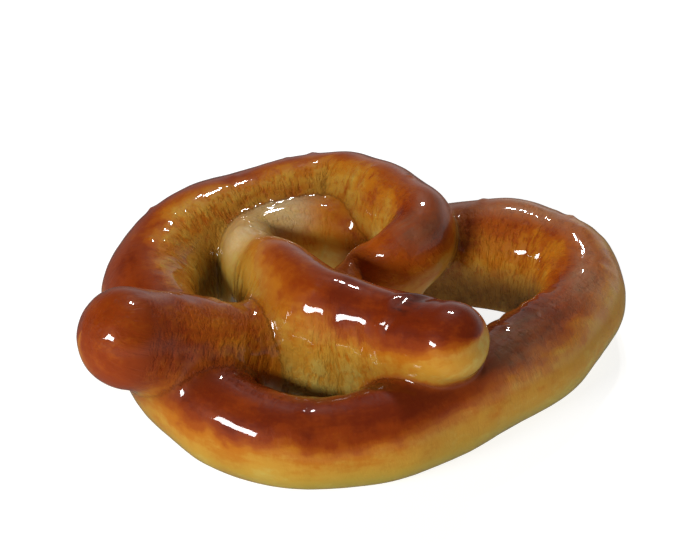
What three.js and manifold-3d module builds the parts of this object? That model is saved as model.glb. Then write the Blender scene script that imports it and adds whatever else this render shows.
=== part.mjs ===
// A soft pretzel: one rope of dough, laid in a ring, twisted and folded back over itself, baked in one piece.
// Millimetres, +Z up. The origin is on the resting plane, under the middle of the pretzel's box.
import * as THREE from "three";
import { mergeVertices } from "three/addons/utils/BufferGeometryUtils.js";
import Module from "manifold-3d";

// Driving dimensions.
const SIDES = 16; // corners of one section of the rope
const STEPS_PER_STATION = 2; // sections between one station and the next
const DOME_ANGLES = [25, 50, 72]; // degrees from the last section to the pole of a rounded end
const DOME_LENGTH = 0.95; // length of a rounded end, in half widths
const CUT_SIDE = 200; // side of the block below the resting plane
const CUT_DEPTH = 20;

// How square a lower quarter of the section is: 2 is round, 8 is a wall that runs straight down to a toe.
const ROUND = 2;
const SOFT_TOE = 3;
const FIRM_TOE = 6;
const TOE = 8;
const FLARE = 0.025; // share of the half width by which the foot spreads, for each unit of toe above round

// One station of the rope: where it passes, how low and how high it reaches, and half its width.
// The toes are on the right and the left of the way the rope runs.
function station(x, y, low, high, half, rightToe = ROUND, leftToe = ROUND) {
  return {
    centre: new THREE.Vector3(x, y, (low + high) / 2),
    size: new THREE.Vector3(half, (high - low) / 2, 0),
    toes: new THREE.Vector3(rightToe, leftToe, 0),
  };
}

// The right arm, from its end on the front of the ring up to the back of the twist.
const RIGHT_ARM = [
  station(33, -22, 22, 41, 10),
  station(22, -19.5, 11, 39, 10, ROUND, SOFT_TOE),
  station(10, -17.5, 2, 38.5, 11, ROUND, TOE),
  station(-2.5, -15.8, -1, 38, 12.7, ROUND, TOE),
  station(-13, -8, -1, 36, 11.5, ROUND, TOE),
  station(-24, 3, -1, 29, 9, ROUND, FIRM_TOE),
];
// The bend round the left of the eye, and the low stretch behind the eye.
const EYE = [
  station(-32, 11, -1, 25, 8, ROUND, FIRM_TOE),
  station(-34, 19, -1, 23, 7.5, ROUND, FIRM_TOE),
  station(-29, 26, -1, 23, 8, SOFT_TOE),
  station(-19, 32, -1, 23, 8.5, FIRM_TOE),
  station(-7, 34, -1, 22, 9, FIRM_TOE),
  station(5, 36, -1, 22, 11, TOE),
];
// The ring: the right lobe, the belly at the front and the left side.
const RIGHT_LOBE = [
  station(20, 40, -1, 25, 12, TOE),
  station(34, 42, -1, 27, 12.5, TOE),
  station(43, 41, -1, 27, 12.5, TOE),
  station(51, 36, -1, 27, 12, TOE),
  station(55, 28, -1, 26, 11.5, TOE),
  station(55, 17, -1, 25, 11, TOE),
  station(51, 5.5, -1, 25, 12, TOE),
  station(42.5, -10.5, -1, 25, 11.7, TOE),
];
const BELLY = [
  station(33, -25, -1, 24, 11, TOE),
  station(23, -36, -1, 23, 11, TOE),
  station(9, -44, -1, 22, 10.5, TOE),
  station(-7, -47, -1, 22, 10.5, TOE),
  station(-22, -42, -1, 23, 11, TOE),
  station(-34, -34, -1, 25, 11.5, TOE),
];
const LEFT_SIDE = [
  station(-44, -23, -1, 26, 12.5, TOE),
  station(-52, -8, -1, 26, 12.5, TOE),
  station(-54, 6, -1, 26, 12.5, TOE),
];
// The left lobe, which climbs over the stretch behind the eye.
const LEFT_LOBE = [
  station(-50, 19, -1, 27, 12.5, TOE),
  station(-42, 30, -1, 27, 12.5, TOE),
  station(-31, 40, -1, 28, 12, TOE),
  station(-19, 46, 0, 29, 11, TOE),
  station(-8, 42, 4, 32, 10.5, SOFT_TOE),
  station(3, 34, 10, 35, 10),
  station(11, 27, 12, 36, 9),
];
// The left arm, which turns round the right of the eye, dives under the right arm and ends on the front left.
const LEFT_ARM = [
  station(12, 23, 11, 35, 8.5),
  station(8, 17, 7, 30, 8),
  station(1, 13, -1, 24, 8.5),
  station(-6, -4, -1, 21, 10, FIRM_TOE, SOFT_TOE),
  station(-11, -17, -1, 24, 10.5, FIRM_TOE),
  station(-18, -25, 1, 28, 11, FIRM_TOE),
  station(-28, -34, 9, 34, 11.5),
  station(-39, -44, 17, 41, 12.5),
];

const UP = new THREE.Vector3(0, 0, 1);
const radians = THREE.MathUtils.degToRad;

// The frame and sizes of the rope at t, from 0 to 1 along its curves.
function ropeAt(curves, t) {
  const tangent = curves.centre.getTangent(t);
  const right = new THREE.Vector3().crossVectors(tangent, UP).normalize();
  return {
    origin: curves.centre.getPoint(t),
    tangent,
    right,
    above: new THREE.Vector3().crossVectors(right, tangent),
    size: curves.size.getPoint(t),
    toes: curves.toes.getPoint(t),
  };
}

function ropeThrough(stations) {
  const curveOf = (key) => new THREE.CatmullRomCurve3(stations.map((s) => s[key]), false, "centripetal");
  const curves = { centre: curveOf("centre"), size: curveOf("size"), toes: curveOf("toes") };
  const steps = (stations.length - 1) * STEPS_PER_STATION;
  return Array.from({ length: steps + 1 }, (_, i) => ropeAt(curves, i / steps));
}

// The corners of one section: an ellipse above, and superellipse quarters with toes below.
function sectionCorners(rope, shrink, ahead) {
  const origin = rope.origin.clone().addScaledVector(rope.tangent, ahead);
  return Array.from({ length: SIDES }, (_, i) => {
    const angle = (2 * Math.PI * i) / SIDES;
    const across = Math.cos(angle);
    const upward = Math.sin(angle);
    const toe = across > 0 ? rope.toes.x : rope.toes.y;
    const power = upward < 0 ? toe : ROUND;
    const reach = (Math.abs(across) ** power + Math.abs(upward) ** power) ** (-1 / power);
    const sunk = Math.max(0, -upward * reach);
    const flare = 1 + FLARE * (toe - ROUND) * sunk ** 2;
    return origin
      .clone()
      .addScaledVector(rope.right, shrink * flare * reach * across * rope.size.x)
      .addScaledVector(rope.above, shrink * reach * upward * rope.size.y);
  });
}

// The sections of a rounded end, from the last full section outwards.
function domeSections(rope, direction) {
  const length = direction * DOME_LENGTH * rope.size.x;
  return DOME_ANGLES.map((degrees) => {
    const angle = radians(degrees);
    return sectionCorners(rope, Math.cos(angle), length * Math.sin(angle));
  });
}

function pole(rope, direction) {
  const length = direction * DOME_LENGTH * rope.size.x;
  return rope.origin.clone().addScaledVector(rope.tangent, length);
}

// A stretch of rope with two rounded ends, as a closed geometry.
function stretchGeometry(ropes) {
  const start = ropes[0];
  const end = ropes[ropes.length - 1];
  const sections = [
    ...domeSections(start, -1).reverse(),
    ...ropes.map((rope) => sectionCorners(rope, 1, 0)),
    ...domeSections(end, 1),
  ];
  const points = [...sections.flat(), pole(start, -1), pole(end, 1)];
  const startPole = points.length - 2;
  const endPole = points.length - 1;
  const lastSection = (sections.length - 1) * SIDES;
  const triangles = [];
  for (let j = 0; j < SIDES; j++) {
    const next = (j + 1) % SIDES;
    triangles.push(startPole, j, next);
    triangles.push(endPole, lastSection + next, lastSection + j);
    for (let k = 0; k < sections.length - 1; k++) {
      const a = k * SIDES + j;
      const b = k * SIDES + next;
      triangles.push(a, a + SIDES, b + SIDES);
      triangles.push(a, b + SIDES, b);
    }
  }
  return new THREE.BufferGeometry().setFromPoints(points).setIndex(triangles);
}

// The rope is swept in stretches that don't cross themselves: up to the back of the right lobe,
// on round the ring and the left lobe, and the left arm.
function stretches() {
  const behindTheEye = [...RIGHT_ARM, ...EYE];
  const main = ropeThrough([...behindTheEye, ...RIGHT_LOBE, ...BELLY, ...LEFT_SIDE, ...LEFT_LOBE]);
  const join = (behindTheEye.length + 1) * STEPS_PER_STATION;
  return [main.slice(0, join + 1), main.slice(join), ropeThrough(LEFT_ARM)];
}

const wasm = await Module();
wasm.setup();

// A closed geometry as a solid that can be joined and cut.
function solidOf(geometry) {
  geometry.deleteAttribute("normal");
  geometry.deleteAttribute("uv");
  const merged = mergeVertices(geometry, 1e-4);
  const vertProperties = new Float32Array(merged.attributes.position.array);
  const triVerts = new Uint32Array(merged.index.array);
  return new wasm.Manifold(new wasm.Mesh({ numProp: 3, vertProperties, triVerts }));
}

function geometryOf(solid) {
  const { vertProperties, triVerts } = solid.getMesh();
  const geometry = new THREE.BufferGeometry();
  geometry.setAttribute("position", new THREE.BufferAttribute(vertProperties, 3));
  geometry.setIndex(new THREE.BufferAttribute(triVerts, 1));
  geometry.computeVertexNormals();
  return geometry;
}

// The block that the underside is cut flat by.
function blockBelowGround() {
  const block = new THREE.BoxGeometry(CUT_SIDE, CUT_SIDE, CUT_DEPTH);
  return solidOf(block.translate(0, 0, -CUT_DEPTH / 2));
}

function pretzelGeometry() {
  const solids = stretches().map((ropes) => solidOf(stretchGeometry(ropes)));
  const rope = solids.reduce((joined, solid) => joined.add(solid));
  return geometryOf(rope.subtract(blockBelowGround()));
}

const bakedCrust = new THREE.MeshStandardMaterial({ color: 0x8a4a1c, roughness: 0.15, metalness: 0 });

const pretzel = new THREE.Mesh(pretzelGeometry(), bakedCrust);
pretzel.name = "pretzel";

const softPretzel = new THREE.Group();
softPretzel.add(pretzel);

export default softPretzel;
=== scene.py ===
"""Looks of the soft pretzel: one baked rope of dough under a thick, clear, glossy glaze.

The rope repeats the stations of part.mjs, in millimetres, as one smooth curve. A distance field
round that curve gives the skin, which is pressed flat on the ground, joined softly where the rope
crosses itself, and then wrinkled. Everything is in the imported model's frame.
"""

import math

import bpy
import numpy as np
import openvdb
from mathutils import Matrix, Vector


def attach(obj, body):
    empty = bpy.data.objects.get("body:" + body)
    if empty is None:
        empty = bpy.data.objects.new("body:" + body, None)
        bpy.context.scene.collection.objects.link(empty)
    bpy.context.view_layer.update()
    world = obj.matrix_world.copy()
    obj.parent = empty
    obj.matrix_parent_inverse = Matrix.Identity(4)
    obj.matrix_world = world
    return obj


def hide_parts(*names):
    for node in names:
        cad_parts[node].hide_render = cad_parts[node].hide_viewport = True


MM = 0.001
SEED = 11

# The rope: x, y, low, high, half width, toe on the right of travel, toe on its left. A toe is how
# square the rope's lower half is on that side: 2 is round, 8 is a wall that runs straight down.
# x and y began as points picked in the photograph, put through the assumed camera by a scratch script
# and rounded to whole millimetres. Some were then moved.
RIGHT_ARM = [
    (33, -22, 22, 41, 10, 2, 2),
    (22, -19.5, 11, 39, 10, 2, 3),
    (10, -17.5, 2, 38.5, 11, 2, 8),
    (-2.5, -15.8, -1, 38, 12.7, 2, 8),
    (-13, -8, -1, 36, 11.5, 2, 8),
    (-24, 3, -1, 29, 9, 2, 6),
]
EYE = [
    (-32, 11, -1, 25, 8, 2, 6),
    (-34, 19, -1, 23, 7.5, 2, 6),
    (-29, 26, -1, 23, 8, 3, 2),
    (-19, 32, -1, 23, 8.5, 6, 2),
    (-7, 34, -1, 22, 9, 6, 2),
    (5, 36, -1, 22, 11, 8, 2),
]
RIGHT_LOBE = [
    (20, 40, -1, 25, 12, 8, 2),
    (34, 42, -1, 27, 12.5, 8, 2),
    (43, 41, -1, 27, 12.5, 8, 2),
    (51, 36, -1, 27, 12, 8, 2),
    (55, 28, -1, 26, 11.5, 8, 2),
    (55, 17, -1, 25, 11, 8, 2),
    (51, 5.5, -1, 25, 12, 8, 2),
    (42.5, -10.5, -1, 25, 11.7, 8, 2),
]
BELLY = [
    (33, -25, -1, 24, 11, 8, 2),
    (23, -36, -1, 23, 11, 8, 2),
    (9, -44, -1, 22, 10.5, 8, 2),
    (-7, -47, -1, 22, 10.5, 8, 2),
    (-22, -42, -1, 23, 11, 8, 2),
    (-34, -34, -1, 25, 11.5, 8, 2),
]
LEFT_SIDE = [
    (-44, -23, -1, 26, 12.5, 8, 2),
    (-52, -8, -1, 26, 12.5, 8, 2),
    (-54, 6, -1, 26, 12.5, 8, 2),
]
LEFT_LOBE = [
    (-50, 19, -1, 27, 12.5, 8, 2),
    (-42, 30, -1, 27, 12.5, 8, 2),
    (-31, 40, -1, 28, 12, 8, 2),
    (-19, 46, 0, 29, 11, 8, 2),
    (-8, 42, 4, 32, 10.5, 3, 2),
    (3, 34, 10, 35, 10, 2, 2),
    (11, 27, 12, 36, 9, 2, 2),
]
LEFT_ARM = [
    (12, 23, 11, 35, 8.5, 2, 2),
    (8, 17, 7, 30, 8, 2, 2),
    (1, 13, -1, 24, 8.5, 2, 2),
    (-6, -4, -1, 21, 10, 6, 3),
    (-11, -17, -1, 24, 10.5, 6, 2),
    (-18, -25, 1, 28, 11, 6, 2),
    (-28, -34, 9, 34, 11.5, 2, 2),
    (-39, -44, 17, 41, 12.5, 2, 2),
]
STRETCHES = [RIGHT_ARM, EYE, RIGHT_LOBE, BELLY, LEFT_SIDE, LEFT_LOBE, LEFT_ARM]
STATIONS = [station for stretch in STRETCHES for station in stretch]
FIRST = np.cumsum([0] + [len(stretch) for stretch in STRETCHES])  # each stretch's first station

SAMPLE = 0.8  # mm between the rope's samples
VOXEL = 0.75  # mm
BAND = 3.0  # mm of distance kept each side of the skin
DOME = 0.95  # length of a rounded end, in half widths
BLENDS = (3.0, 3.0, 5.0)  # mm, how softly the ring, left lobe and left arm flow into the rest
NEAR, FAR = 15.0, 40.0  # mm along the rope between which two places become separate strands
FLARE = 0.025  # share of the half width by which the foot spreads, for each unit of toe above round
FOOT = 2.2  # mm, how round the edge of the flat underside is
REACH = 15.0  # mm from the rope's middle within which its skin is looked for
SMOOTHING_PASSES, SMOOTHING = 4, 0.55  # how the voxels' steps are smoothed away

# The relief of the crust, in mm.
UNEVENNESS, UNEVEN_LENGTH = 0.36, 24.0  # the broad shape and its wavelength
RIPPLE, RIPPLE_LENGTH = 0.03, 8.0
WRINKLE, WRINKLE_LENGTH, DIMPLE_LENGTH = 0.22, 4.0, 4.5
FOLD_DEPTH, FOLD_LIP = 0.5, 0.35

# Blisters: (station, angle round the rope, radius and height in mm). In six rows the station and angle
# were read off a scratch probe at points picked in the photograph. The rest are guesses.
BLISTERS = [
    (22.2, 101, 1.2, 0.45),
    (2.66, 110, 1.1, 0.45),
    (24.6, 100, 1.1, 0.40),
    (18.7, 79, 1.3, 0.50),
    (27.4, 91, 1.1, 0.40),
    (28.4, 131, 1.2, 0.40),
    (31.5, 120, 1.3, 0.50),
    (12.3, 110, 1.2, 0.45),
    (14.3, 115, 1.2, 0.50),
    (34.2, 110, 1.1, 0.40),
]
OTHER_BLISTERS = 26  # smaller ones, anywhere on the crust

# How the crust is baked along the rope, by station number: (station, top, right edge, left edge).
# top is how dark the crest is. The edges are the angles above the horizontal, in degrees, down to
# which the dark crust reaches on the right and on the left of travel.
CRUST = [
    (0, 0.88, 10, 10),
    (0.5, 0.92, 10, 12),
    (1, 0.82, 10, 22),
    (2, 0.88, 20, 32),
    (3, 0.74, 20, 46),
    (4, 0.64, 5, 58),
    (4.8, 0.50, 10, 74),
    (5.5, 0.32, 30, 88),
    (6, 0.20, 60, 90),
    (8, 0.34, 50, 60),
    (10, 0.60, 30, 20),
    (12, 0.68, 42, 46),
    (15, 0.62, 50, 60),
    (18, 0.84, 35, 46),
    (20, 0.90, 30, 32),
    (22, 0.84, 20, 26),
    (24, 0.84, 10, 20),
    (26, 0.80, 60, 8),
    (28, 0.74, 92, 8),
    (30, 0.76, 78, 8),
    (32, 0.68, 82, 20),
    (33.5, 0.62, 70, 36),
    (35, 0.76, 40, 30),
    (36, 0.82, 20, 10),
    (37, 0.62, 20, 0),
    (38, 0.56, 20, 0),
    (40, 0.50, 20, 0),
    (41.6, 0.52, 20, 0),
    (42.5, 0.68, -20, -30),
    (43, 0.72, -85, -80),
]


def smoothstep(low, high, value):
    t = np.clip((value - low) / (high - low), 0.0, 1.0)
    return t * t * (3.0 - 2.0 * t)


def unit(rows):
    return rows / np.maximum(np.linalg.norm(rows, axis=1, keepdims=True), 1e-9)


def catmull_rom(keys, knots, at):
    """Rows of keys as a centripetal Catmull-Rom curve over the knots, read at the given values."""
    keys = np.vstack([2 * keys[0] - keys[1], keys, 2 * keys[-1] - keys[-2]])
    knots = np.concatenate([[2 * knots[0] - knots[1]], knots, [2 * knots[-1] - knots[-2]]])
    span = np.clip(np.searchsorted(knots, at, side="right") - 1, 1, len(knots) - 3)
    t = at[:, None]
    k = [knots[span + i][:, None] for i in (-1, 0, 1, 2)]
    p = [keys[span + i] for i in (-1, 0, 1, 2)]

    def mix(a, b, ka, kb):
        return ((kb - t) * a + (t - ka) * b) / (kb - ka)

    a = [mix(p[i], p[i + 1], k[i], k[i + 1]) for i in range(3)]
    b = [mix(a[i], a[i + 1], k[i], k[i + 2]) for i in range(2)]
    return mix(b[0], b[1], k[1], k[2])


class Rope:
    """The rope sampled every SAMPLE mm: centre, frame, half sizes, toes, place and station."""

    def __init__(self):
        rows = np.array(STATIONS, float)
        middle = (rows[:, 2] + rows[:, 3]) / 2
        keys = np.column_stack([rows[:, :2], middle, rows[:, 4], rows[:, 3] - middle, rows[:, 5:]])
        steps = np.linalg.norm(np.diff(keys[:, :3], axis=0), axis=1)
        knots = np.concatenate([[0.0], np.cumsum(np.sqrt(steps))])
        keys = np.column_stack([keys, np.arange(len(rows))])
        fine = catmull_rom(keys, knots, np.linspace(0, knots[-1], 4000))
        length = np.linalg.norm(np.diff(fine[:, :3], axis=0), axis=1)
        along = np.concatenate([[0.0], np.cumsum(length)])
        count = int(along[-1] / SAMPLE)
        self.place = np.linspace(0, along[-1], count)
        self.step = self.place[1]
        even = np.column_stack([np.interp(self.place, along, c) for c in fine.T])
        self.centre = even[:, :3]
        self.half = even[:, 3]
        self.tall = even[:, 4]
        self.toes = even[:, 5:7]
        self.station = even[:, 7]
        self.tangent = unit(np.gradient(self.centre, axis=0))
        self.right = unit(np.cross(self.tangent, [0.0, 0.0, 1.0]))
        self.above = unit(np.cross(self.right, self.tangent))

    def strand(self, first, last):
        """Sample numbers from one station to another."""
        inside = (self.station >= first) & (self.station <= last)
        return np.nonzero(inside)[0]


def read(rope, points, strand):
    """The strand's distance at each point, with the nearest place and the place round the rope."""
    centre = rope.centre[strand]
    nearest = np.empty(len(points), int)
    lengths = (centre**2).sum(1)
    for start in range(0, len(points), 40000):
        chunk = points[start : start + 40000]
        nearest[start : start + 40000] = np.argmin(lengths - 2 * chunk @ centre.T, axis=1)
    n = nearest + strand[0]
    slip = ((points - rope.centre[n]) * rope.tangent[n]).sum(1) / rope.step
    u = np.clip(n + np.clip(slip, -0.75, 0.75), strand[0], strand[-1])
    low = np.minimum(u.astype(int), strand[-1] - 1)
    f = u - low

    def at(values):
        part = f if values.ndim == 1 else f[:, None]
        return values[low] * (1 - part) + values[low + 1] * part

    q = points - at(rope.centre)
    across = (q * at(rope.right)).sum(1)
    above = (q * at(rope.above)).sum(1)
    along = (q * at(rope.tangent)).sum(1)
    half, tall, toes = at(rope.half), at(rope.tall), at(rope.toes)
    toe = np.where(across > 0, toes[:, 0], toes[:, 1])
    power = np.where(above < 0, toe, 2.0)
    sunk = np.clip(-above / tall, 0, 1)
    half = half * (1 + FLARE * (toe - 2) * sunk**2)
    g = (np.abs(across / half) ** power + np.abs(above / tall) ** power) ** (1 / power)
    ends = (low <= strand[0]) | (low >= strand[-1] - 1)
    beyond = np.where(ends, np.abs(along) / (half * DOME), 0.0)
    g = np.sqrt(g**2 + beyond**2)
    reach = np.sqrt(across**2 + above**2 + np.where(ends, along, 0.0) ** 2)
    distance = np.where(reach < 0.5, -tall / 2, reach * (1 - 1 / np.maximum(g, 0.05)))
    place = rope.place[0] + u * rope.step
    return distance, place, across / half, above / tall


def strands(rope):
    """Four overlapping strands: none of them meets itself."""
    eye_end, ring_end, lobe_end = FIRST[2] + 2, FIRST[5] + 1, FIRST[6]
    last = len(STATIONS) - 1
    return [
        rope.strand(0, eye_end),
        rope.strand(eye_end - 1, ring_end),
        rope.strand(ring_end - 1, lobe_end + 0.5),
        rope.strand(lobe_end, last),
    ]


def joined(readings):
    """One distance from several strands: separate strands flow together where they touch."""
    distance, place = readings[0][0].copy(), readings[0][1].copy()
    for (other, other_place), blend in zip(readings[1:], BLENDS):
        apart = smoothstep(NEAR, FAR, np.abs(other_place - place))
        k = np.maximum(blend * apart, 1e-6)
        h = np.maximum(k - np.abs(distance - other), 0) / k
        nearer = other < distance
        distance = np.where(nearer, other, distance) - h * h * k / 4
        place = np.where(nearer, other_place, place)
    return distance


def pressed_flat(distance, height):
    """The skin stops at the ground, with a rounded foot."""
    below = -height
    h = np.maximum(FOOT - np.abs(distance - below), 0) / FOOT
    return np.maximum(distance, below) + h * h * FOOT / 4


def skin(rope):
    """Vertices (mm) and quads of the smooth skin round the rope."""
    groups = strands(rope)
    low = rope.centre.min(0) - REACH
    low[2] = -BAND
    high = rope.centre.max(0) + REACH
    axes = [np.arange(low[i], high[i] + VOXEL, VOXEL) for i in range(3)]
    shape = [len(a) for a in axes]
    grid = np.stack(np.meshgrid(*axes, indexing="ij"), -1).reshape(-1, 3)
    readings = []
    for group in groups:
        box_low = rope.centre[group].min(0) - REACH
        box_high = rope.centre[group].max(0) + REACH
        inside = np.all((grid > box_low) & (grid < box_high), axis=1)
        found = read(rope, grid[inside], group)
        distance = np.full(len(grid), 2 * BAND)
        place = np.full(len(grid), -1000.0)
        distance[inside], place[inside] = found[0], found[1]
        readings.append((distance, place))
    distance = pressed_flat(joined(readings), grid[:, 2])
    values = np.clip(distance, -BAND, BAND).astype(np.float32).reshape(shape)
    field = openvdb.FloatGrid(background=BAND)
    field.copyFromArray(values)
    points, quads = field.convertToQuads(isovalue=0.0)
    return points.astype(float) * VOXEL + low, quads.astype(int)


def neighbours(quads, count):
    """A function that gives, for each vertex, the mean of some values over its neighbours."""
    pairs = np.vstack([quads[:, [i, (i + 1) % 4]] for i in range(4)])
    pairs = np.unique(np.sort(pairs, axis=1), axis=0)
    a = np.concatenate([pairs[:, 0], pairs[:, 1]])
    b = np.concatenate([pairs[:, 1], pairs[:, 0]])
    number = np.bincount(a, minlength=count)

    def mean(values):
        columns = values.reshape(count, -1)
        sums = [np.bincount(a, weights=columns[b, i], minlength=count) for i in range(columns.shape[1])]
        return (np.column_stack(sums) / np.maximum(number, 1)[:, None]).reshape(values.shape)

    return mean


def normals_of(points, quads):
    d1 = points[quads[:, 2]] - points[quads[:, 0]]
    d2 = points[quads[:, 3]] - points[quads[:, 1]]
    face = np.cross(d1, d2)
    total = np.zeros_like(points)
    for corner in range(4):
        for axis in range(3):
            total[:, axis] += np.bincount(
                quads[:, corner], weights=face[:, axis], minlength=len(points)
            )
    return unit(total)


def waves(points, length, rng, count=14):
    """Smooth noise of about that wavelength, roughly from -1 to 1, from random plane waves."""
    total = np.zeros(len(points))
    for _ in range(count):
        direction = rng.normal(size=points.shape[1])
        direction /= np.linalg.norm(direction)
        size = rng.uniform(0.75, 1.35) * 2 * math.pi / length
        total += np.sin(points @ direction * size + rng.uniform(0, 2 * math.pi))
    return total / math.sqrt(count)


class Skin:
    """The skin with what each vertex knows: its strand, place along, place round, and so on."""

    def __init__(self):
        self.rope = Rope()
        self.points, self.quads = skin(self.rope)
        self.mean = neighbours(self.quads, len(self.points))
        for _ in range(SMOOTHING_PASSES):
            self.points += SMOOTHING * (self.mean(self.points) - self.points)
        self.normals = normals_of(self.points, self.quads)
        self.measure()

    def measure(self):
        found = [read(self.rope, self.points, group) for group in strands(self.rope)]
        distances = np.array([f[0] for f in found])
        own = distances.argmin(0)
        pick = np.arange(len(self.points))
        self.place, self.across, self.above = [
            np.array([f[i] for f in found])[own, pick] for i in (1, 2, 3)
        ]
        places = np.array([f[1] for f in found])
        apart = np.abs(places - self.place) > FAR
        self.other = np.where(apart, distances, 50.0).min(0)
        self.station = np.interp(self.place, self.rope.place, self.rope.station)
        self.angle = np.degrees(np.arctan2(self.above, self.across))


def between(skin_, first, last, soft=0.6):
    """1 on the rope from station first to station last, fading out over soft stations."""
    s = skin_.station
    return smoothstep(first - soft, first, s) * (1 - smoothstep(last, last + soft, s))


def facing(skin_, middle, spread):
    """1 where the rope's own angle is within spread degrees of middle: 90 is up, 0 is its right."""
    turn = np.abs((skin_.angle - middle + 180) % 360 - 180)
    return 1 - smoothstep(spread * 0.6, spread * 1.3, turn)


def blisters(skin_, rng):
    """The height of the small round blisters, in mm."""
    chosen = list(BLISTERS)
    for _ in range(OTHER_BLISTERS):
        place = (rng.uniform(0, len(STATIONS) - 1), rng.uniform(20, 160))
        chosen.append(place + (rng.uniform(0.7, 1.2), rng.uniform(0.15, 0.35)))
    total = np.zeros(len(skin_.points))
    for station, angle, radius, height in chosen:
        miss = np.abs(skin_.station - station) + np.abs(skin_.angle - angle) / 30
        middle = skin_.points[miss.argmin()]
        d = np.linalg.norm(skin_.points - middle, axis=1) / radius
        total += height * np.exp(-d * d)
    return total


def relief(skin_, rng):
    """How far, in mm, the crust stands out from the smooth skin: the broad shape, the wrinkles."""
    p = skin_.points
    # The right arm is smooth where the window shows in its glaze.
    calm = between(skin_, 1.2, 4.5) * facing(skin_, 110, 60)
    broad = UNEVENNESS * waves(p, UNEVEN_LENGTH, rng) * (1 - 0.85 * calm)
    broad += RIPPLE * waves(p, RIPPLE_LENGTH, rng)
    wrinkled = np.maximum.reduce(
        [
            1.0 * facing(skin_, 10, 70) * between(skin_, 10, 37),
            0.6 * facing(skin_, 40, 60) * between(skin_, 10, 18),
            0.6 * facing(skin_, 90, 60) * between(skin_, 13, 19),
            0.6 * facing(skin_, 110, 90) * between(skin_, 41, 44),
            1.0 * facing(skin_, 180, 42) * between(skin_, 1.4, 4.6),
            0.35 * facing(skin_, 130, 60) * between(skin_, 36, 39),
            0.5 * facing(skin_, 60, 80) * between(skin_, 5, 9),
            np.full(len(p), 0.12),
        ]
    )
    # Wrinkles run round the rope, so they change quickly along it and slowly round it.
    rolled = np.column_stack([skin_.place, skin_.across * 5.0, skin_.above * 5.0])
    folds = 0.65 * waves(rolled, WRINKLE_LENGTH, rng, 12) + 0.75 * waves(p, DIMPLE_LENGTH, rng, 12)
    patchy = 0.5 + 0.5 * np.clip(waves(p, 12, rng), -1, 1)
    wrinkles = wrinkled * patchy * folds
    ground = smoothstep(0.5, 4.0, p[:, 2])
    height = (broad + WRINKLE * wrinkles + blisters(skin_, rng)) * ground
    return height, wrinkles, wrinkled


def from_fold(skin_, rng):
    """Millimetres along the rope from the crooked fold that sets off the right arm's end."""
    fold = 0.35 + 0.0075 * (skin_.angle - 90)
    return (skin_.station - fold) * 11.0 + 1.2 * waves(skin_.points, 9, rng)


def fold_crease(skin_, rng):
    """The slanting fold where the right arm's end was tucked: a shallow groove and a soft lip."""
    x = from_fold(skin_, rng)
    reach = facing(skin_, 95, 45) * smoothstep(0.0, 0.3, skin_.station)
    lip = FOLD_LIP * np.exp(-(((x - 3.0) / 2.0) ** 2))
    groove = FOLD_DEPTH * np.exp(-((x / 1.5) ** 2))
    return reach * (lip - groove)


def baked(skin_, rng):
    """How dark the crust is at each vertex, from 0, pale dough, to 1, nearly burnt, with the ring's
    walls facing the holes painted darker as shade.
    """
    table = np.array(CRUST, float)
    top, right, left = [np.interp(skin_.station, table[:, 0], table[:, i]) for i in (1, 2, 3)]
    ragged = 4 * waves(skin_.points, 9, rng) + 2.5 * waves(skin_.points, 3.5, rng)
    angle = np.where(skin_.angle < -90, skin_.angle + 360, skin_.angle)
    from_right = angle - right + ragged
    from_left = (180 - angle) - left + ragged
    edge = np.minimum(from_right, from_left)
    dark = smoothstep(-16, 32, edge)
    # Painted shade: the ring's walls facing the holes are painted darker.
    inside = facing(skin_, 0, 60) * between(skin_, 10, 34)
    side = 0.17 + 0.20 * smoothstep(-80, 0, edge) + 0.10 * inside
    blotch = 0.03 * waves(skin_.points, 16, rng)
    bake_and_shade = np.clip(side + (top - side) * dark + blotch, 0, 1)
    # The crust blends across the crevices.
    near = np.exp(-np.maximum(skin_.other, 0) / 3.0)
    for _ in range(12):
        bake_and_shade += near * (skin_.mean(bake_and_shade) - bake_and_shade)
    return bake_and_shade


def hollow_shade(skin_):
    """Painted shade: 1 at the foot of the walls inside the holes and under the right arm, where the
    crust is painted a dark olive brown.
    """
    hole_wall_shade = facing(skin_, -20, 75) * between(skin_, 10, 34)
    hole_wall_shade *= 1 - 0.5 * between(skin_, 28, 34)
    under_arm_shade = facing(skin_, 200, 60) * between(skin_, 1, 6)
    low = 1 - smoothstep(3, 22, skin_.points[:, 2])
    return np.maximum(hole_wall_shade, 0.5 * under_arm_shade) * low


def straw_and_shade(skin_):
    """1 on the low outer band of the ring, painted a darker greenish yellow: partly the band's own
    colour, partly painted shade near the ground.
    """
    outer = facing(skin_, 195, 60) * between(skin_, 12, 34)
    low = 1 - smoothstep(4, 15, skin_.points[:, 2])
    return outer * low * (0.5 + 0.5 * between(skin_, 14, 21.5, 2.0))


def painted_sheen(skin_):
    """Painted sheen: how much pale reflection is painted into the glaze on the bend by the eye and on
    some crests.
    """
    patchy = 0.8 + 0.3 * np.sin(skin_.place / 5.0)
    places = np.maximum.reduce(
        [
            0.9 * facing(skin_, 90, 56) * between(skin_, 5.7, 8.0, 1.2),
            0.24 * facing(skin_, 112, 38) * between(skin_, 12.5, 17, 1.5),
            0.18 * facing(skin_, 110, 40) * between(skin_, 17, 19, 1.0),
            0.14 * facing(skin_, 110, 40) * between(skin_, 35, 36.2, 0.6),
        ]
    )
    return np.clip(places * patchy, 0, 1)


def crevice_shade(skin_):
    """Painted shade: 1 deep in the crevices between two strands, 0 away from them."""
    return np.exp(-np.maximum(skin_.other, 0) / 3.5)


def add_attribute(mesh, name, values):
    layer = mesh.attributes.new(name, "FLOAT", "POINT")
    layer.data.foreach_set("value", values.astype(np.float32))


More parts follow.
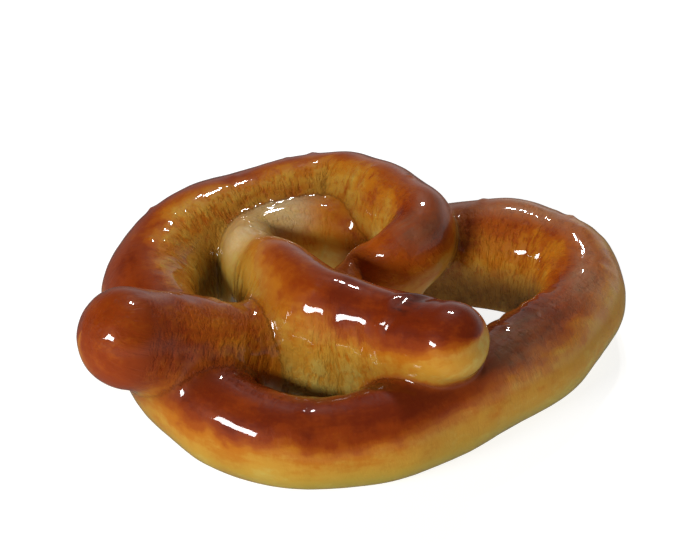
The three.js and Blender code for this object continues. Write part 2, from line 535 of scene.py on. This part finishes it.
def make_pretzel():
    rng = np.random.default_rng(SEED)
    skin_ = Skin()
    push, wrinkles, wrinkled = relief(skin_, rng)
    push += fold_crease(skin_, rng)
    points = skin_.points + skin_.normals * push[:, None]
    points[:, 2] = np.maximum(points[:, 2], 0.0)
    mesh = bpy.data.meshes.new("pretzel_crust")
    mesh.from_pydata(points * MM, [], skin_.quads.tolist())
    mesh.shade_smooth()
    # Painted shade: the wrinkles' grooves are painted darker and their crests paler.
    add_attribute(mesh, "bake_and_shade", baked(skin_, rng) - 0.05 * wrinkles)
    add_attribute(mesh, "wrinkled", wrinkled)
    add_attribute(mesh, "hollow_shade", hollow_shade(skin_))
    add_attribute(mesh, "straw_and_shade", straw_and_shade(skin_))
    add_attribute(mesh, "sheen_mask", painted_sheen(skin_))
    add_attribute(mesh, "crevice_shade_mask", crevice_shade(skin_))
    add_attribute(mesh, "place", skin_.place)
    add_attribute(mesh, "across", skin_.across)
    add_attribute(mesh, "above", skin_.above)
    piece = bpy.data.objects.new("pretzel_crust", mesh)
    bpy.context.scene.collection.objects.link(piece)
    piece.data.materials.append(crust_material())
    return piece


class Nodes:
    """Short ways to add and link shader nodes."""

    def __init__(self, material):
        material.use_nodes = True
        self.tree = material.node_tree
        self.tree.nodes.clear()

    def add(self, kind, inputs=None, **settings):
        node = self.tree.nodes.new("ShaderNode" + kind)
        for name, value in settings.items():
            setattr(node, name, value)
        for name, value in (inputs or {}).items():
            self.put(node.inputs[name], value)
        return node

    def put(self, socket, value):
        if isinstance(value, bpy.types.NodeSocket):
            self.tree.links.new(value, socket)
        else:
            socket.default_value = value

    def attribute(self, name):
        return self.add("Attribute", attribute_name=name).outputs["Fac"]

    def math(self, operation, a, b=0.0, clamp=False):
        return self.add("Math", {0: a, 1: b}, operation=operation, use_clamp=clamp).outputs[0]

    def noise(self, vector, scale, detail=3.0, roughness=0.5):
        inputs = {"Vector": vector, "Scale": scale, "Detail": detail, "Roughness": roughness}
        return self.add("TexNoise", inputs).outputs["Fac"]

    def spread(self, value, low, high, to_low=0.0, to_high=1.0):
        inputs = {"Value": value, 1: low, 2: high, 3: to_low, 4: to_high}
        return self.add("MapRange", inputs, clamp=True).outputs[0]

    def mix(self, share, a, b, blend="MIX"):
        node = self.add("Mix", data_type="RGBA", blend_type=blend, clamp_factor=True)
        self.put(node.inputs[0], share)
        self.put(node.inputs[6], a)
        self.put(node.inputs[7], b)
        return node.outputs[2]

    def ramp(self, value, stops):
        node = self.add("ValToRGB", {"Fac": value})
        ramp = node.color_ramp
        ramp.interpolation = "EASE"
        ramp.elements[0].position, ramp.elements[0].color = stops[0]
        ramp.elements[1].position, ramp.elements[1].color = stops[-1]
        for position, colour in stops[1:-1]:
            ramp.elements.new(position).color = colour
        return node.outputs["Color"]


def colour(red, green, blue):
    """A screen colour, 0 to 255, as the linear colour that shaders take."""

    def linear(c):
        c /= 255
        return c / 12.92 if c <= 0.04045 else ((c + 0.055) / 1.055) ** 2.4

    return (linear(red), linear(green), linear(blue), 1.0)


# Crust colours from raw dough to nearly burnt, by the "bake_and_shade" value, which also carries
# painted shade.
CRUST_COLOURS = [
    (0.12, colour(204, 176, 84)),
    (0.30, colour(200, 144, 48)),
    (0.44, colour(190, 112, 22)),
    (0.58, colour(168, 80, 14)),
    (0.74, colour(144, 56, 10)),
    (0.90, colour(116, 38, 8)),
    (1.00, colour(84, 26, 6)),
]
# Greenish yellow of the low outer band: partly its own colour, partly painted shade near the ground.
STRAW_AND_SHADE = colour(168, 146, 44)
# Painted shade at the foot of the walls inside the holes and under the right arm.
HOLLOW_SHADE = colour(98, 60, 2)
# Painted shade in the crevices between strands.
CREVICE_SHADE = colour(84, 40, 6)
# Painted sheen: the pale reflection of a bright room in the glaze.
SHEEN_COLOUR = colour(236, 220, 170)


def crust_tone(n, body, cuts, streaks):
    """The crust's colour: its baked darkness, broken up by painted shade in the cuts, by streaks and
    mottling, and the local tints, which include painted shade in the holes and crevices and a painted
    sheen.
    """
    mottle = n.noise(body, 150.0, 4.0, 0.6)
    specks = n.noise(body, 700.0, 2.0, 0.5)
    patches = n.spread(n.noise(body, 90.0, 2.0, 0.5), 0.38, 0.62, 0.25, 1.0)
    # Painted shade: the bumped cuts' grooves are painted darker where the crust is wrinkled.
    groove_shade = n.math("MULTIPLY", n.spread(cuts, 0.50, 0.68, -0.02, 0.14), n.attribute("wrinkled"))
    groove_shade = n.math("MULTIPLY", groove_shade, patches)
    shift = n.math("ADD", groove_shade, n.spread(streaks, 0.3, 0.7, -0.05, 0.05))
    shift = n.math("ADD", shift, n.spread(mottle, 0.3, 0.7, -0.04, 0.04))
    shift = n.math("ADD", shift, n.spread(specks, 0.3, 0.7, -0.02, 0.02))
    tone = n.ramp(n.math("ADD", n.attribute("bake_and_shade"), shift, clamp=True), CRUST_COLOURS)
    uneven = n.spread(mottle, 0.3, 0.7, 0.75, 1.1)
    # The low outer band: its own colour, darkened as painted shade near the ground.
    tone = n.mix(n.math("MULTIPLY", n.attribute("straw_and_shade"), uneven), tone, STRAW_AND_SHADE)
    # Painted shade: dark olive brown at the foot of the walls inside the holes and under the right arm.
    tone = n.mix(n.math("MULTIPLY", n.attribute("hollow_shade"), uneven), tone, HOLLOW_SHADE)
    # Painted sheen: a pale reflection mixed into the colour, broken up by the streaks.
    sheen_veil = n.math("MULTIPLY", n.attribute("sheen_mask"), n.spread(streaks, 0.35, 0.65, 0.35, 0.75))
    tone = n.mix(sheen_veil, tone, SHEEN_COLOUR)
    # Painted shade darkens the crevices between strands.
    return n.mix(n.math("MULTIPLY", n.attribute("crevice_shade_mask"), 0.6), tone, CREVICE_SHADE)


def on_rope(n, along, around):
    """Coordinates on the rope's surface, stretched along it and round it by those scales."""
    place = n.math("MULTIPLY", n.attribute("place"), along)
    turns = [n.math("MULTIPLY", n.attribute(name), around) for name in ("across", "above")]
    return n.add("CombineXYZ", {0: place, 1: turns[0], 2: turns[1]}).outputs[0]


def crust_material():
    material = bpy.data.materials.new("glazed_crust")
    n = Nodes(material)
    body = n.add("TexCoord").outputs["Object"]
    cuts = n.noise(on_rope(n, 0.75, 4.5), 1.0, 3.0, 0.6)
    streaks = n.noise(on_rope(n, 0.16, 5.0), 1.0, 4.0, 0.6)
    tone = crust_tone(n, body, cuts, streaks)
    grain = n.noise(body, 900.0, 3.0, 0.55)
    ripples = n.noise(body, 110.0, 2.0, 0.5)
    grooves = n.math("MULTIPLY", n.spread(cuts, 0.45, 0.65, 1.0, 0.0), n.attribute("wrinkled"))
    fine = n.add("Bump", {"Strength": 0.2, "Distance": 0.0002, "Height": grain})
    under = n.add("Bump", {"Strength": 0.6, "Distance": 0.0005, "Height": grooves})
    n.put(under.inputs["Normal"], fine.outputs[0])
    glaze = n.add("Bump", {"Strength": 0.08, "Distance": 0.0005, "Height": ripples})
    shader = n.add(
        "BsdfPrincipled",
        {
            "Base Color": tone,
            "Roughness": 0.45,
            "IOR": 1.45,
            "Specular IOR Level": 0.08,
            "Subsurface Weight": 0.08,
            "Subsurface Radius": (3.0, 1.2, 0.4),
            "Subsurface Scale": 0.001,
            "Coat Weight": 1.0,
            "Coat Roughness": 0.045,
            "Coat IOR": 1.4,
            "Normal": under.outputs[0],
            "Coat Normal": glaze.outputs[0],
        },
    )
    output = n.add("OutputMaterial")
    n.put(output.inputs["Surface"], shader.outputs[0])
    return material


def make_floor():
    mesh = bpy.data.meshes.new("floor")
    side = 4.0
    corners = [(-side, -side, 0), (side, -side, 0), (side, side, 0), (-side, side, 0)]
    mesh.from_pydata(corners, [], [(0, 1, 2, 3)])
    floor = bpy.data.objects.new("floor", mesh)
    bpy.context.scene.collection.objects.link(floor)
    material = bpy.data.materials.new("pale_floor")
    n = Nodes(material)
    shader = n.add(
        "BsdfPrincipled",
        {
            "Base Color": (0.35, 0.35, 0.35, 1),
            "Roughness": 0.9,
            "Emission Color": (1, 1, 1, 1),
            "Emission Strength": 0.85,
        },
    )
    output = n.add("OutputMaterial")
    n.put(output.inputs["Surface"], shader.outputs[0])
    floor.data.materials.append(material)
    floor.visible_glossy = False  # the glaze mirrors the dim room below it, not a glaring floor
    return floor


def make_world():
    """A dim room that is bright low down, most of all behind the pretzel and to its right."""
    world = bpy.data.worlds.new("studio")
    bpy.context.scene.world = world
    n = Nodes(world)
    toward = n.add("SeparateXYZ", {0: n.add("TexCoord").outputs["Generated"]})
    near = n.spread(toward.outputs[2], 0.0, 0.40, 0.5, 0.05)
    far = n.spread(toward.outputs[2], 0.0, 0.55, 0.75, 0.05)
    above = n.mix(n.spread(toward.outputs[1], 0.1, 0.9), near, far)
    leftward = n.spread(toward.outputs[0], -0.7, -0.1, 0.2, 1.0)
    above = n.mix(1.0, above, leftward, "MULTIPLY")
    light = n.mix(n.spread(toward.outputs[2], -0.25, 0.05), (0.11, 0.11, 0.11, 1), above)
    background = n.add("Background", {"Color": light, "Strength": 1.0})
    output = n.add("OutputWorld")
    n.put(output.inputs["Surface"], background.outputs[0])


def make_softbox(name, direction, distance, width, height, power, turn=0.0):
    """A rectangular light that faces the pretzel from that direction."""
    light = bpy.data.lights.new(name, "AREA")
    light.shape = "RECTANGLE"
    light.size = width
    light.size_y = height
    light.energy = power
    lamp = bpy.data.objects.new(name, light)
    bpy.context.scene.collection.objects.link(lamp)
    back = Vector(direction).normalized()
    lamp.location = back * distance
    turned = back.to_track_quat("Z", "Y").to_matrix().to_4x4()
    lamp.matrix_world = Matrix.Translation(back * distance) @ turned @ Matrix.Rotation(turn, 4, "Z")
    return lamp


def make_lights():
    make_softbox("window", (-0.39, -0.78, 0.48), 1.2, 0.42, 0.19, 10.0)
    make_softbox("panel_a", (-0.17, 0.58, 0.80), 1.2, 0.055, 0.075, 3.2)
    make_softbox("panel_b", (-0.07, 0.58, 0.80), 1.2, 0.055, 0.075, 3.2)


def make_camera():
    """The photograph's view: from the front, a little to the right, 38 degrees above."""
    azimuth, elevation, distance = math.radians(20), math.radians(38), 0.420
    target = Vector((-0.010, 0.0295, 0.0))
    back = Vector(
        (
            math.sin(azimuth) * math.cos(elevation),
            -math.cos(azimuth) * math.cos(elevation),
            math.sin(elevation),
        )
    )
    data = bpy.data.cameras.new("camera")
    data.sensor_width = 36.0
    data.lens = 77.14
    data.clip_start = 0.01
    data.clip_end = 20.0
    camera = bpy.data.objects.new("camera", data)
    bpy.context.scene.collection.objects.link(camera)
    camera.location = target + back * distance
    camera.rotation_mode = "QUATERNION"
    camera.rotation_quaternion = (-back).to_track_quat("-Z", "Y")
    bpy.context.scene.camera = camera


def corners(box):
    return [list(corner) for corner in box]


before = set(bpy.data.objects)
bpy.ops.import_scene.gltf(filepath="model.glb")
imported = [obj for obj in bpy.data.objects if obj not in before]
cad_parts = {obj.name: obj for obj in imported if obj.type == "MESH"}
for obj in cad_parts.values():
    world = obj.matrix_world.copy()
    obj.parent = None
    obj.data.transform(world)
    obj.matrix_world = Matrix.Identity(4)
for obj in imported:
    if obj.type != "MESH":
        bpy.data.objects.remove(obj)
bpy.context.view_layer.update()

bpy.context.scene.view_settings.view_transform = "Standard"
pretzel = make_pretzel()
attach(pretzel, "root")
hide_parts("pretzel")
make_floor()
make_world()
make_lights()
make_camera()
